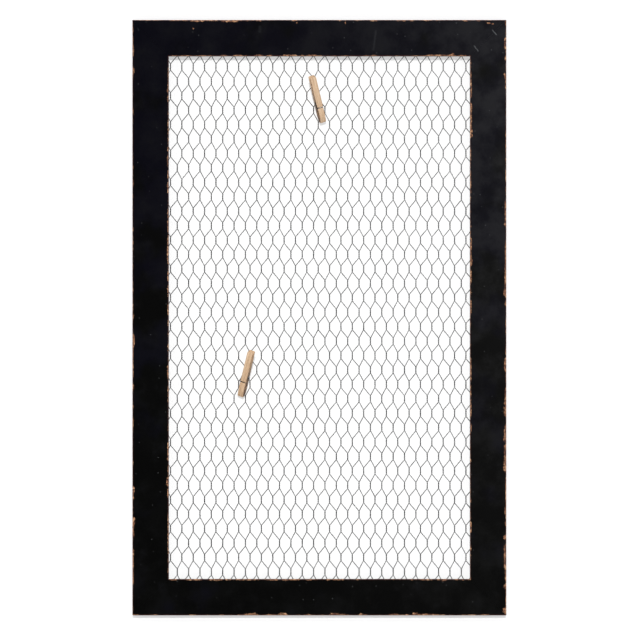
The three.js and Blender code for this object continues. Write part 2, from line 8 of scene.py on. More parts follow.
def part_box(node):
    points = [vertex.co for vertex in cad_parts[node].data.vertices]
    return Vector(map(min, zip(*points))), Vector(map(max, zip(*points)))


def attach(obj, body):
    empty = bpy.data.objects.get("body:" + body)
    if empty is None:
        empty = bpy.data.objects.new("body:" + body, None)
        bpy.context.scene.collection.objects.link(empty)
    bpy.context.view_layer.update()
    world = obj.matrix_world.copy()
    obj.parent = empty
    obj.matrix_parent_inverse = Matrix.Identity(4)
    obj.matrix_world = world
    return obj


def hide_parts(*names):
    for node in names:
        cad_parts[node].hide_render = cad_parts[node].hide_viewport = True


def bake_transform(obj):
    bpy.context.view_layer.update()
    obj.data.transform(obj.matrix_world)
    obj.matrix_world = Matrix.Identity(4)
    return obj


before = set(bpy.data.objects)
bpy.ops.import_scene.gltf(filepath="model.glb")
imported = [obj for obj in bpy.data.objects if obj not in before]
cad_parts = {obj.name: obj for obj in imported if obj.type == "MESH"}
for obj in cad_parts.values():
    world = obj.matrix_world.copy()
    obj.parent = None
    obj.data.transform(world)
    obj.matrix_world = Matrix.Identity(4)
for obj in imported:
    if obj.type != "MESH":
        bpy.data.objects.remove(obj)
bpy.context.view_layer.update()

# A wall memo board: a worn black frame over hexagonal wire netting, with two spring clothespins
# clipped to the netting and two ring hangers on the back.
# The front faces -Y and Z is up. Sizes are in metres, most of them written as millimetres times mm.
mm = 0.001

# ---- Where the board is, from its own pieces ----

board_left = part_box("frame_left_stile")[0].x
opening_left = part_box("frame_left_stile")[1].x
board_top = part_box("frame_top_rail")[1].z
board_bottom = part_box("frame_bottom_rail")[0].z
opening_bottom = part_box("frame_bottom_rail")[1].z
front_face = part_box("frame_top_rail")[0].y
board_middle = (board_top + board_bottom) / 2
net_low, net_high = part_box("wire_netting")
net_middle_y = (net_low.y + net_high.y) / 2

# ---- How the pieces are made ----


def pick(piece):
    """Selects one piece and nothing else."""
    bpy.ops.object.select_all(action="DESELECT")
    piece.select_set(True)
    bpy.context.view_layer.objects.active = piece


def started(name, primitive, **settings):
    """A new piece from a primitive, added with nothing else selected."""
    bpy.ops.object.select_all(action="DESELECT")
    primitive(**settings)
    piece = bpy.context.object
    piece.name = name
    piece.data.name = name
    return piece


@contextmanager
def shaping(piece, mode="VERT"):
    """Edit mode on one piece, with all of it selected."""
    pick(piece)
    bpy.ops.object.mode_set(mode="EDIT")
    bpy.ops.mesh.select_mode(type=mode)
    bpy.ops.mesh.select_all(action="SELECT")
    yield
    bpy.ops.object.mode_set(mode="OBJECT")


def modified(piece, kind, **settings):
    """Adds a modifier to a piece and applies it."""
    pick(piece)
    bpy.ops.object.modifier_add(type=kind)
    modifier = piece.modifiers[-1]
    for key, setting in settings.items():
        setattr(modifier, key, setting)
    bpy.ops.object.modifier_apply(modifier=modifier.name)


def set_down(piece, place):
    """Moves a finished piece to its place and leaves its object at the origin."""
    pick(piece)
    piece.matrix_world = place
    bpy.ops.object.transform_apply(location=True, rotation=True, scale=True)


def copied(piece, name):
    pick(piece)
    bpy.ops.object.duplicate()
    twin = bpy.context.object
    twin.name = name
    twin.data.name = name
    return twin


def discard(piece):
    pick(piece)
    bpy.ops.object.delete()


def smoothed(piece, degrees=35):
    pick(piece)
    bpy.ops.object.shade_smooth_by_angle(angle=math.radians(degrees))


def drawn_line(name, points):
    """A line of edges, drawn out corner by corner from one point."""
    piece = started(name, bpy.ops.mesh.primitive_plane_add, size=mm, location=points[0])
    with shaping(piece):
        bpy.ops.mesh.merge(type="CENTER")
        for here, there in zip(points, points[1:]):
            bpy.ops.mesh.extrude_region_move(TRANSFORM_OT_translate={"value": there - here})
        bpy.ops.mesh.select_all(action="SELECT")
        bpy.ops.mesh.remove_doubles(threshold=0.001 * mm)
    set_down(piece, piece.matrix_world.copy())
    return piece


def thickened(piece, diameter, roundness, thinner=1, thin_points=None):
    """Turns a line of edges into round wire; roundness 0 gives four sides, and each step two more.
    The points of the line that thin_points picks by their number are thinner by the given share."""
    pick(piece)
    bpy.ops.object.convert(target="CURVE")
    wire = bpy.context.object
    wire.data.dimensions = "3D"
    if thin_points:
        bpy.ops.object.mode_set(mode="EDIT")
        bpy.ops.curve.select_all(action="DESELECT")
        for k, point in enumerate(wire.data.splines[0].points):
            point.select = thin_points(k)
        bpy.ops.curve.radius_set(radius=thinner)
        bpy.ops.object.mode_set(mode="OBJECT")
    wire.data.bevel_depth = diameter / 2
    wire.data.bevel_resolution = roundness
    wire.data.use_fill_caps = True
    bpy.ops.object.convert(target="MESH")
    solid = bpy.context.object
    with shaping(solid):
        bpy.ops.mesh.remove_doubles(threshold=0.001 * mm)
    return solid


def bent_wire(name, points, diameter, roundness=3):
    wire = thickened(drawn_line(name, points), diameter, roundness)
    wire.name = name
    wire.data.name = name
    smoothed(wire, 60)
    return wire


def filled_outline(name, points, thickness):
    """An outline drawn corner by corner, filled and drawn out into a solid along thickness."""
    piece = drawn_line(name, [*points, points[0]])
    with shaping(piece):
        bpy.ops.mesh.edge_face_add()
        bpy.ops.mesh.extrude_region_move(TRANSFORM_OT_translate={"value": thickness})
        bpy.ops.mesh.select_all(action="SELECT")
        bpy.ops.mesh.normals_make_consistent(inside=False)
    return piece


def arc(centre, radius, start, end, steps, across=Vector((0, 1, 0)), up=Vector((0, 0, 1))):
    """Points on part of a circle, from angle start to angle end, in degrees."""
    turns = [math.radians(start + (end - start) * k / steps) for k in range(steps + 1)]
    return [centre + radius * (math.cos(turn) * across + math.sin(turn) * up) for turn in turns]


# ---- Finishes ----


class Reading:
    """A number that varies over a surface, as one output of a node, so that sums on it read as sums."""

    def __init__(self, finish, socket):
        self.finish = finish
        self.socket = socket

    def __add__(self, other):
        return self.finish.maths("ADD", self, other)

    __radd__ = __add__

    def __sub__(self, other):
        return self.finish.maths("SUBTRACT", self, other)

    def __rsub__(self, other):
        return self.finish.maths("SUBTRACT", other, self)

    def __mul__(self, other):
        return self.finish.maths("MULTIPLY", self, other)

    __rmul__ = __mul__

    def __truediv__(self, other):
        return self.finish.maths("DIVIDE", self, other)

    def __rtruediv__(self, other):
        return self.finish.maths("DIVIDE", other, self)

    def __pow__(self, other):
        return self.finish.maths("POWER", self, other)

    def __abs__(self):
        return self.finish.maths("ABSOLUTE", self)


class Finish:
    """A surface finish: a material and the nodes that give it its look."""

    def __init__(self, name, **constants):
        self.material = bpy.data.materials.new(name)
        self.material.use_nodes = True
        self.tree = self.material.node_tree
        self.tree.nodes.clear()
        self.shader = self.tree.nodes.new("ShaderNodeBsdfPrincipled")
        output = self.tree.nodes.new("ShaderNodeOutputMaterial")
        self.tree.links.new(self.shader.outputs[0], output.inputs[0])
        for name_of_socket, value in constants.items():
            self.shader.inputs[name_of_socket.replace("_", " ")].default_value = value
        self.place = self.node("TexCoord", output="Object")

    def node(self, kind, inputs=None, output=0, stops=None, line=None, **settings):
        """Adds a node, with its settings first and then the values or links of its sockets."""
        made = self.tree.nodes.new("ShaderNode" + kind)
        for key, setting in settings.items():
            setattr(made, key, setting)
        for k, point in enumerate(line or ()):
            drawn = made.mapping.curves[0].points
            if k < 2:
                drawn[k].location = point
            else:
                drawn.new(*point)
            drawn[k].handle_type = "VECTOR"
            made.mapping.update()
        for k, (position, colour) in enumerate(stops or ()):
            ramp = made.color_ramp.elements
            stop = ramp[k] if k < 2 else ramp.new(position)
            stop.position = position
            stop.color = (*colour, 1)
        for key, value in (inputs or {}).items():
            if isinstance(value, Reading):
                self.tree.links.new(value.socket, made.inputs[key])
            else:
                made.inputs[key].default_value = value
        return Reading(self, made.outputs[output])

    def maths(self, operation, *values):
        return self.node("Math", dict(enumerate(values)), operation=operation)

    def least(self, first, second):
        return self.maths("MINIMUM", first, second)

    def most(self, first, second):
        return self.maths("MAXIMUM", first, second)

    def split(self, place):
        """The x, y and z of a place."""
        return [self.node("SeparateXYZ", {0: place}, output=axis) for axis in "XYZ"]

    def stretched(self, place, scale, turn=(0, 0, 0), move=(0, 0, 0)):
        inputs = {"Vector": place, "Location": move, "Rotation": turn, "Scale": scale}
        return self.node("Mapping", inputs)

    def noise(self, place, size, detail=3.0, roughness=0.5):
        """Soft random blotches from 0 to 1, about as large as size."""
        inputs = {"Vector": place, "Scale": 1 / size, "Detail": detail, "Roughness": roughness}
        return self.node("TexNoise", inputs)

    def fade(self, value, low, high):
        """0 below low and 1 above high, with a smooth step between them."""
        inputs = {"Value": value, "From Min": low, "From Max": high}
        return self.node("MapRange", inputs, interpolation_type="SMOOTHSTEP")

    def between(self, value, at_zero, at_one):
        """A number that goes from at_zero to at_one as value goes from 0 to 1."""
        return at_zero + value * (at_one - at_zero)

    def colours(self, value, *stops):
        return self.node("ValToRGB", {0: value}, stops=stops)

    def blend(self, share, first, second):
        """The first colour where share is 0, and the second where it is 1."""
        first, second = (c if isinstance(c, Reading) else (*c, 1) for c in (first, second))
        return self.node("Mix", {0: share, 6: first, 7: second}, output=2, data_type="RGBA")

    def bump(self, height, depth):
        """Relief of the given depth in metres where height goes from 0 to 1."""
        return self.node("Bump", {"Height": height, "Distance": depth, "Strength": 1.0})

    def shows(self, **links):
        for key, value in links.items():
            self.tree.links.new(value.socket, self.shader.inputs[key.replace("_", " ")])
        return self.material


def dress(material, *pieces):
    """Gives pieces their finish, in place of any that they have."""
    for piece in pieces:
        piece.data.materials.clear()
        piece.data.materials.append(material)


# ---- Black paint, rubbed through along the edges ----

# Stretches of each edge where the paint is worn deeper, as (from, to, depth) in mm, by x on the
# rails and by z on the stiles.
worn_stretches = {
    "top_outer": [
        (-300, -262, 1.2), (-251, -219, 1.7), (-216, -196, 3.2), (-194, -171, 1.9), (-165, -139, 3.6),
        (-136, -114, 1.9), (-106, -97, 2.2), (-47, -37, 2.2), (33, 36, 2.2), (85, 97, 2.1),
        (128, 139, 1.9), (141, 144, 2.8), (151, 156, 2.1), (242, 248, 2.8), (265, 270, 2.2),
    ],
    "top_inner": [
        (-233, -216, 1.7), (-204, -180, 1.6), (-163, -155, 2.6), (-139, -128, 2.3), (-108, -95, 2.8),
        (-87, -79, 2.1), (-61, -39, 2.5), (-30, -25, 2.1), (-20, -4, 2.4), (86, 95, 2.3),
        (178, 221, 2.5), (222, 226, 5.5), (238, 246, 2.3),
    ],
    "bottom_outer": [
        (-278, -273, 1.9), (-217, -207, 1.7), (-166, -158, 1.9), (-137, -129, 1.9), (-126, -116, 2.6),
        (-116, -104, 4.4), (-88, -72, 2.1), (-69, -54, 4.2), (-22, -17, 2.4), (19, 32, 4.0),
        (32, 44, 2.2), (67, 70, 4.2), (70, 79, 2.4), (117, 134, 2.6), (143, 148, 2.4),
        (155, 163, 4.6), (163, 192, 2.8), (192, 212, 1.9), (250, 262, 1.7), (272, 285, 2.0),
    ],
    "bottom_inner": [
        (-251, -246, 2.1), (-243, -239, 2.2), (-223, -209, 2.2), (-206, -197, 2.2), (-184, -164, 2.7),
        (-156, -149, 2.1), (-139, -129, 2.0), (-122, -112, 2.1), (-111, -106, 2.0), (-83, -71, 2.5),
        (-62, -34, 2.2), (-20, -13, 2.4), (13, 17, 3.4), (62, 65, 2.1), (154, 157, 2.2),
        (175, 186, 2.0), (207, 214, 2.8), (229, 232, 2.2),
    ],
    "left_outer": [
        (8, 21, 1.7), (-30, -11, 2.6), (-61, -50, 3.0), (-128, -119, 1.6), (-249, -241, 2.2),
        (-268, -262, 1.6), (-323, -320, 2.6), (-337, -333, 2.3), (-348, -342, 2.3), (-428, -419, 1.6),
        (-473, -464, 2.6), (-514, -499, 3.8), (-534, -514, 2.4), (-570, -546, 2.1), (-592, -581, 2.4),
        (-622, -616, 2.4), (-651, -640, 1.9), (-763, -752, 3.8), (-776, -763, 2.6), (-813, -803, 4.2),
        (-838, -813, 3.0), (-869, -859, 2.7), (-906, -872, 2.3), (-915, -908, 2.3),
    ],
    "left_inner": [
        (-78, -50, 1.6), (-92, -88, 2.8), (-108, -97, 2.3), (-163, -140, 1.8), (-189, -183, 2.7),
        (-219, -196, 2.3), (-239, -223, 2.1), (-262, -245, 2.6), (-326, -291, 2.1), (-350, -334, 2.7),
        (-379, -353, 2.9), (-408, -392, 2.2), (-435, -417, 2.4), (-464, -447, 2.1), (-572, -548, 2.6),
        (-603, -584, 2.0), (-708, -679, 2.2), (-709, -704, 3.2), (-726, -721, 2.0), (-752, -736, 3.8),
        (-771, -756, 2.3), (-820, -797, 1.7), (-860, -833, 1.9),
    ],
    "right_outer": [
        (20, 30, 2.6), (-8, 0, 3.2), (-19, -12, 3.8), (-39, -33, 2.6), (-68, -61, 3.4),
        (-83, -77, 2.4), (-187, -156, 1.8), (-243, -219, 1.6), (-258, -255, 2.6), (-316, -275, 2.7),
        (-317, -313, 4.0), (-390, -343, 2.4), (-424, -390, 3.2), (-434, -424, 5.0), (-450, -445, 3.4),
        (-495, -470, 1.7), (-533, -519, 2.0), (-559, -538, 3.8), (-611, -589, 2.6), (-633, -611, 4.2),
        (-668, -650, 3.8), (-677, -672, 5.6), (-709, -682, 3.8), (-726, -711, 5.0), (-780, -737, 1.9),
        (-797, -788, 3.4), (-819, -812, 2.3), (-841, -834, 5.0), (-887, -849, 4.0), (-913, -889, 2.4),
        (-924, -917, 5.2), (-948, -942, 1.9), (-968, -957, 5.6),
    ],
    "right_inner": [
        (-73, -53, 2.2), (-91, -74, 2.8), (-101, -95, 3.0), (-156, -108, 3.2), (-166, -158, 4.4),
        (-206, -187, 1.8), (-252, -222, 1.8), (-372, -334, 2.6), (-384, -372, 4.2), (-412, -390, 2.8),
        (-465, -439, 2.6), (-578, -538, 2.1), (-604, -590, 2.0), (-634, -612, 2.6), (-661, -648, 2.6),
        (-713, -706, 1.9), (-779, -774, 2.2), (-830, -812, 2.6), (-859, -852, 2.0),
    ],
}
# Chips and flecks away from the edges, as (x, z, reach along x, reach along z) in mm.
chips = [
    (-211.5, 15.9, 1.4, 1.5), (43.5, 26, 1.2, 2.0), (-38, 25.8, 1.2, 1.1), (284, 25, 3.6, 1.5),
    (291, 23.8, 2.2, 1.0), (311, -61, 1.4, 2.2), (188, -909, 1.3, 1.4),
    (200, -909.6, 2.4, 1.3), (207, -910.6, 1.8, 1.2),
]
# Fine scratches, as (x, z) of each end, how wide in mm, and how pale.
scratches = [
    ((289.5, 14.5), (298.5, 4.5), 0.6, 0.75), ((259, -12), (267.5, -23), 0.6, 0.6),
    ((95, 14), (90.5, -22), 1.4, 0.07), ((-99.5, 22), (-100.5, 8), 1.8, 0.05),
    ((-306, 18), (-303, 12), 0.5, 0.15), ((228.5, 26), (231.5, 24.5), 1.0, 0.5),
]

# The deepest wear that these lines can show, and at how many places along an edge they are read.
deepest_wear = 6 * mm
wear_samples = 256
# How far the rounding of the edges has taken them back from a sharp corner.
edge_round = 0.75 * mm


def wear_line(stretches, start, end):
    """How deep an edge is worn along its length, as points of (place, depth), both from 0 to 1.
    The stretches and the ends of the edge are in mm."""
    overlap = 1
    depths = []
    for k in range(wear_samples):
        along = start + (end - start) * k / (wear_samples - 1)
        inside = [
            depth for low, high, depth in stretches if low - overlap <= along <= high + overlap
        ]
        depths.append(max(inside, default=0) * mm / deepest_wear)
    line = [(0, depths[0]), (1, depths[-1])]
    for k in range(1, wear_samples - 1):
        if depths[k - 1] != depths[k] or depths[k] != depths[k + 1]:
            line.append((k / (wear_samples - 1), depths[k]))
    return line


def paint_finish(name, along_x):
    """Satin black paint over brown wood, worn off along the edges."""
    paint = Finish(name, Specular_IOR_Level=0.12, IOR=1.5, Coat_Roughness=0.36)
    place = paint.place
    x, y, z = paint.split(place)
    if along_x:
        along, start, end = x, board_left, -board_left
        across = z - board_middle
        half, half_opening = board_middle - board_bottom, board_middle - opening_bottom
        sides = "bottom", "top"
    else:
        along, start, end = z, board_bottom, board_top
        across = x
        half, half_opening = -board_left, -opening_left
        sides = "left", "right"
    share = (along - start) / (end - start)
    far_side = paint.maths("GREATER_THAN", across, 0)
    from_outer = paint.most(half - abs(across), 0)
    from_inner = paint.most(abs(across) - half_opening, 0)
    from_front = y - front_face
    from_back = 0 - y

    # Noise that breaks up the line between paint and wood.
    nibbles = paint.noise(place, 3.2 * mm, 4.0, 0.65)
    crumbs = paint.noise(place, 1.3 * mm, 2.0, 0.6)
    patches = paint.noise(place, 18 * mm, 3.0, 0.55)
    ragged = (nibbles - 0.5) * 1.5 + (crumbs - 0.5) * 1.1
    thin = (0.1 + (patches - 0.5) * 5.0) * mm + ragged * 2.2 * mm

    def arris(from_side, from_face):
        """How far a place is from the rounded edge between a side and a face."""
        return (from_side * from_side + from_face * from_face) ** 0.5 - edge_round

    def bared(edge, from_arris):
        """Where an edge is worn: a thin broken line along it, and deeper in its worn stretches."""
        depths = []
        for side in sides:
            line = wear_line(worn_stretches[f"{side}_{edge}"], start / mm, end / mm)
            depths.append(paint.node("FloatCurve", {"Value": share}, line=line) * deepest_wear)
        depth = depths[0] + (depths[1] - depths[0]) * far_side
        reach = paint.most(thin, depth * (1.0 + ragged * 0.55) - edge_round)
        return reach - from_arris

    outer_arris, inner_arris = arris(from_outer, from_front), arris(from_inner, from_front)
    bare_front = paint.most(bared("outer", outer_arris), bared("inner", inner_arris))
    bare_back = thin - arris(from_outer, from_back) * 1.6
    worn = paint.fade(paint.most(bare_front, bare_back), -0.1 * mm, 0.45 * mm)
    to_arris = paint.least(outer_arris, inner_arris)
    rubbed = 1 - paint.fade(to_arris + ragged * 0.3 * mm, 0, 0.9 * mm)
    # Deep wear leaves islands of paint.
    islands = 1 - paint.fade(nibbles * 0.55 + crumbs * 0.45, 0.44, 0.51)
    worn = worn * (1 - islands * paint.fade(to_arris, 0.3 * mm, 1.6 * mm) * 0.9)
    face_only = 1 - paint.fade(from_front, 1.5 * mm, 3 * mm)
    for chip_x, chip_z, wide, high in chips:
        far = (((x - chip_x * mm) / (wide * mm)) ** 2 + ((z - chip_z * mm) / (high * mm)) ** 2) ** 0.5
        worn = paint.most(worn, paint.fade(1.0 - far + ragged * 0.6, 0.0, 0.3) * face_only)

    # Bare wood: its grain runs along the member.
    grain_scale = (6, 90, 90) if along_x else (90, 90, 6)
    grain = paint.noise(paint.stretched(place, grain_scale), 0.11, 4.0, 0.55)
    tone = paint.noise(place, 5 * mm, 3.0, 0.65)
    wood = paint.colours(
        tone * 0.6 + grain * 0.15 + crumbs * 0.25,
        (0.41, (0.030, 0.013, 0.012)), (0.60, (0.70, 0.43, 0.26)),
        (0.475, (0.17, 0.075, 0.052)), (0.54, (0.42, 0.205, 0.105)),
    )

    # Black paint with smears and scratches. Its blue patches, stronger towards the top, are a painted
    # bluish sheen.
    clouds = paint.noise(place, 75 * mm, 3.0, 0.5)
    smears = paint.noise(paint.stretched(place, (1, 1, 1), move=(0.37, 0.11, 0.23)), 42 * mm, 4.0, 0.6)
    tint_with_blue_sheen = paint.blend(
        paint.fade(clouds + (z - board_middle) * 0.3, 0.42, 0.6),
        (0.0015, 0.0015, 0.0014), (0.0017, 0.0015, 0.0050),
    )
    black = paint.blend(paint.fade(smears, 0.55, 0.75) * 0.6, tint_with_blue_sheen, (0.0042, 0.0042, 0.0058))
    marked = black
    for (from_x, from_z), (to_x, to_z), width, pale in scratches:
        run_x, run_z = to_x - from_x, to_z - from_z
        length = math.hypot(run_x, run_z)
        off_x, off_z = x / mm - from_x, z / mm - from_z
        down = (off_x * run_x + off_z * run_z) / length
        side = abs((off_x * run_z - off_z * run_x) / length + (nibbles - 0.5) * 3.5)
        inside = paint.fade(down, 0, 2) * (1 - paint.fade(down, length - 2, length))
        line = (1 - paint.fade(side, width * 0.4, width * 1.8)) * inside * face_only
        marked = paint.blend(line * pale, marked, (0.13, 0.14, 0.145))

    # Specks of dust on the front.
    on_face = paint.stretched(place, (1, 1, 1), turn=(math.pi / 2, 0, 0))
    dots_per_metre = 38.0
    dots = {"Vector": on_face, "Scale": dots_per_metre}
    from_dot = paint.node("TexVoronoi", dots, output="Distance", voronoi_dimensions="2D")
    chance = paint.node("TexVoronoi", dots, output="Color", voronoi_dimensions="2D") * 1.0
    dust = (1 - paint.fade(from_dot, 0.018, 0.036)) * paint.fade(chance, 0.5, 0.8) * face_only
    dusty = paint.blend(dust * 0.5, marked, (0.12, 0.125, 0.13))

    # Paint, then paint rubbed thin along the arris, the dark rim of the wear, and wood.
    thinned = paint.blend(rubbed * 0.85, dusty, (0.092, 0.029, 0.024))
    rim = paint.blend(paint.fade(worn, 0.05, 0.4), thinned, (0.050, 0.022, 0.013))
    colour = paint.blend(paint.fade(worn, 0.35, 0.95), rim, wood)
    painted = (1 - paint.fade(worn, 0.1, 0.5)) * (1 - rubbed)
    paint_roughness = paint.between(smears, 0.56, 0.34) + (nibbles - 0.5) * 0.06
    roughness = paint_roughness + paint.most(worn, rubbed) * 0.5
    # The sides and the back are duller than the front.
    polished = 1 - paint.fade(from_front, 3 * mm, 8 * mm) * 0.8
    coat = paint.fade(smears * 0.6 + clouds * 0.4, 0.4, 0.62) * 0.55 * painted * polished
    relief = grain * 0.25 + nibbles * 0.25 - worn * 0.8
    bump = paint.bump(relief, 0.12 * mm)
    return paint.shows(Base_Color=colour, Roughness=roughness, Coat_Weight=coat, Normal=bump)


rail_paint = paint_finish("black_paint_on_rails", True)
stile_paint = paint_finish("black_paint_on_stiles", False)
dress(rail_paint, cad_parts["frame_top_rail"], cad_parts["frame_bottom_rail"])
dress(stile_paint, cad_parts["frame_left_stile"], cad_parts["frame_right_stile"])

# Paint that has run into the mitres and closes them. The outline of a member's end is given by
# the distance from its outer edge and by y, in mm.
seam_thickness = 0.24 * mm
member_profile = [
    (1, -0.2), (48.8, -0.2), (48.8, -10.2), (60.7, -10.2),
    (60.7, -18), (59, -19.7), (2, -19.7), (0.3, -18),
]
for rail, side_z, edge_z in (("top", 1, board_top), ("bottom", -1, board_bottom)):
    for stile, side_x in (("left", -1), ("right", 1)):
        across = Vector((side_x, 0, -side_z)).normalized() * seam_thickness
        corner = Vector((-side_x * board_left, 0, edge_z)) - across / 2
        shade_towards_other_leg = Vector((-side_x, 0, -side_z))
        outline = [corner + u * mm * shade_towards_other_leg + Vector((0, y * mm, 0)) for u, y in member_profile]
        seam = filled_outline(f"{rail}_{stile}_mitre_paint", outline, across)
        dress(stile_paint, seam)
        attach(seam, "board")

# ---- Metal ----


def metal_finish(name, dark, light, rough, spots, depth, tarnish=(0.05, 0.045, 0.04)):
    """Bare or plated metal with a mottled skin; spots is the size of the mottling."""
    metal = Finish(name, Metallic=1.0)
    place = metal.place
    mottle = metal.noise(place, spots, 3.0, 0.6)
    fine = metal.noise(place, spots / 6, 2.0, 0.6)
    stain = metal.fade(metal.noise(place, spots * 4, 4.0, 0.65), 0.56, 0.74)
    shine = metal.colours(mottle * 0.7 + fine * 0.3, (0.35, dark), (0.65, light))
    colour = metal.blend(stain * 0.45, shine, tarnish)
    roughness = metal.between(mottle, rough - 0.08, rough + 0.08) + stain * 0.15
    bump = metal.bump(fine * 0.6 + mottle * 0.4, depth)
    return metal.shows(Base_Color=colour, Roughness=roughness, Normal=bump)


galvanised_wire = metal_finish(
    "galvanised_wire", (0.18, 0.181, 0.184), (0.34, 0.342, 0.346), 0.5, 5 * mm, 0.02 * mm,
)
staple_steel = metal_finish(
    "staple_steel", (0.52, 0.52, 0.53), (0.72, 0.72, 0.73), 0.34, 2 * mm, 0.01 * mm,
)
nail_steel = metal_finish(
    "corner_nail_steel", (0.22, 0.22, 0.24), (0.38, 0.38, 0.40), 0.42, 2 * mm, 0.02 * mm,
)
hanger_zinc = metal_finish(
    "hanger_zinc_plate", (0.60, 0.56, 0.44), (0.78, 0.74, 0.60), 0.33, 6 * mm, 0.01 * mm,
)
ring_nickel = metal_finish(
    "ring_nickel_plate", (0.56, 0.55, 0.52), (0.74, 0.73, 0.70), 0.24, 4 * mm, 0.01 * mm,
)
screw_zinc = metal_finish(
    "screw_zinc_plate", (0.58, 0.56, 0.48), (0.76, 0.74, 0.66), 0.30, 2 * mm, 0.01 * mm,
)
spring_steel = metal_finish(
    "spring_steel", (0.20, 0.20, 0.21), (0.36, 0.36, 0.37), 0.30, 2 * mm, 0.01 * mm,
)

# ---- Wire netting ----

# The clothespins are 7 wires apart across and 19 rows apart in height. The wires slope as those
# of the coarser netting that this one stands for, whose pitches are given in mm. The twists are
# drawn tight, so that the wire is thinner in them than between them.

mesh_pitch = 133.71 / 7 * mm
row_pitch = 460.8 / 19 * mm
coarse_pitch, coarse_row_pitch = 44.57, 51.2
flat_share = 0.595
twist_share = 0.447
wire_slope = math.atan2(coarse_row_pitch * (1 - twist_share), flat_share * coarse_pitch)
wire_thickness = 1.45 * mm
twist_thickness = 1.24 * mm
twist_depth = 0.3 * mm
slant_bow = 0.24 * mm
shoulder = 0.15
twist_turns = 2
twist_steps = 10
# Each row of a zigzag has its middle point, a shoulder, the points of a twist and a shoulder.
first_in_twist = 2
points_in_row = twist_steps + 4
selvedge_thickness = 1.2 * mm
selvedge_bend = 3 * mm
flat_run = flat_share * mesh_pitch
slant_height = flat_run * math.tan(wire_slope)
twist_length = row_pitch - slant_height

upper_grip = Vector((3.7232, -9.3, -132.9)) * mm
lower_grip = Vector((-129.9868, -9.3, -593.7)) * mm


def twist(column, top, hand):
    """A wire's way round its neighbour, from the top of a twist to the bottom."""
    points = []
    for k in range(twist_steps + 1):
        turn = 2 * math.pi * twist_turns * k / twist_steps
        reach = hand * twist_thickness / 2
        x = column + reach * math.cos(turn)
        y = slant_bow + hand * twist_depth * math.sin(turn)
        points.append(Vector((x, y, top - twist_length * k / twist_steps)))
    return points


def zigzag(name, lane, hand):
    """One wire, twisted by turns with the neighbour on one side and on the other, over two rows."""
    start = Vector((lane / 2, 0, 0))
    middle = start - Vector((0, 0, row_pitch))
    end = middle - Vector((0, 0, row_pitch))
    first = twist(0 if hand > 0 else lane, -slant_height / 2, hand)
    second = twist(lane if hand > 0 else 0, -slant_height / 2 - row_pitch, -hand)
    points = []
    for above, turns, below in ((start, first, middle), (middle, second, end)):
        points += [above, turns[0].lerp(above, shoulder), *turns, turns[-1].lerp(below, shoulder)]
    return drawn_line(name, [*points, end])


def in_twist(k):
    """Whether a point of a zigzag is in a twist; the others are on the slants between twists."""
    return first_in_twist <= k % points_in_row <= first_in_twist + twist_steps


def netting_wires(name, lane, hand, first_x):
    """All wires of one kind: one is drawn, repeated down and across, and cut off at the selvedge."""
    above = math.ceil((net_high.z - upper_grip.z) / (2 * row_pitch))
    top = upper_grip.z + 2 * row_pitch * above
    rows = math.ceil((top - net_low.z) / (2 * row_pitch))
    before = math.ceil((first_x - net_low.x) / mesh_pitch)
    columns = before + math.ceil((net_high.x - first_x) / mesh_pitch) + 1
    wire = zigzag(name, lane, hand)
    modified(
        wire, "ARRAY", count=rows, use_relative_offset=False, use_constant_offset=True,
        constant_offset_displace=(0, 0, -2 * row_pitch), use_merge_vertices=True,
        merge_threshold=0.01 * mm,
    )
    wire = thickened(wire, wire_thickness, 1, twist_thickness / wire_thickness, in_twist)
    wire.name = name
    modified(
        wire, "ARRAY", count=columns, use_relative_offset=False, use_constant_offset=True,
        constant_offset_displace=(mesh_pitch, 0, 0),
    )
    set_down(wire, Matrix.Translation((first_x - before * mesh_pitch, net_middle_y, top)))
    inset = selvedge_thickness / 2
    with shaping(wire):
        for corner, outward in ((net_low, -1), (net_high, 1)):
            for axis in (Vector((1, 0, 0)), Vector((0, 0, 1))):
                bpy.ops.mesh.select_all(action="SELECT")
                bpy.ops.mesh.bisect(
                    plane_co=corner - outward * inset * axis, plane_no=outward * axis,
                    use_fill=True, clear_outer=True, threshold=0.001 * mm,
                )
    smoothed(wire, 70)
    return wire


flat_x = upper_grip.x - flat_run / 2
net_left, net_right = net_low.x + selvedge_thickness / 2, net_high.x - selvedge_thickness / 2
net_bottom, net_top = net_low.z + selvedge_thickness / 2, net_high.z - selvedge_thickness / 2
flat_wires = netting_wires("netting_flat_wires", flat_run, 1, flat_x)
steep_wires = netting_wires("netting_steep_wires", mesh_pitch - flat_run, -1, flat_x + flat_run)


def selvedge_corner(x, z, start):
    """The bend of the selvedge wire about a point, clockwise from the angle start."""
    centre = Vector((x, net_middle_y, z))
    return arc(centre, selvedge_bend, start, start - 90, 6, Vector((1, 0, 0)))


around = [
    *selvedge_corner(net_right - selvedge_bend, net_top - selvedge_bend, 90),
    *selvedge_corner(net_right - selvedge_bend, net_bottom + selvedge_bend, 0),
    *selvedge_corner(net_left + selvedge_bend, net_bottom + selvedge_bend, -90),
    *selvedge_corner(net_left + selvedge_bend, net_top - selvedge_bend, -180),
]
selvedge = bent_wire("netting_selvedge", [*around, around[0]], selvedge_thickness, 3)
for piece in (flat_wires, steep_wires, selvedge):
    piece.visible_shadow = False
    dress(galvanised_wire, piece)
    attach(piece, "board")
    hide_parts("wire_netting")

# ---- Clothespins ----

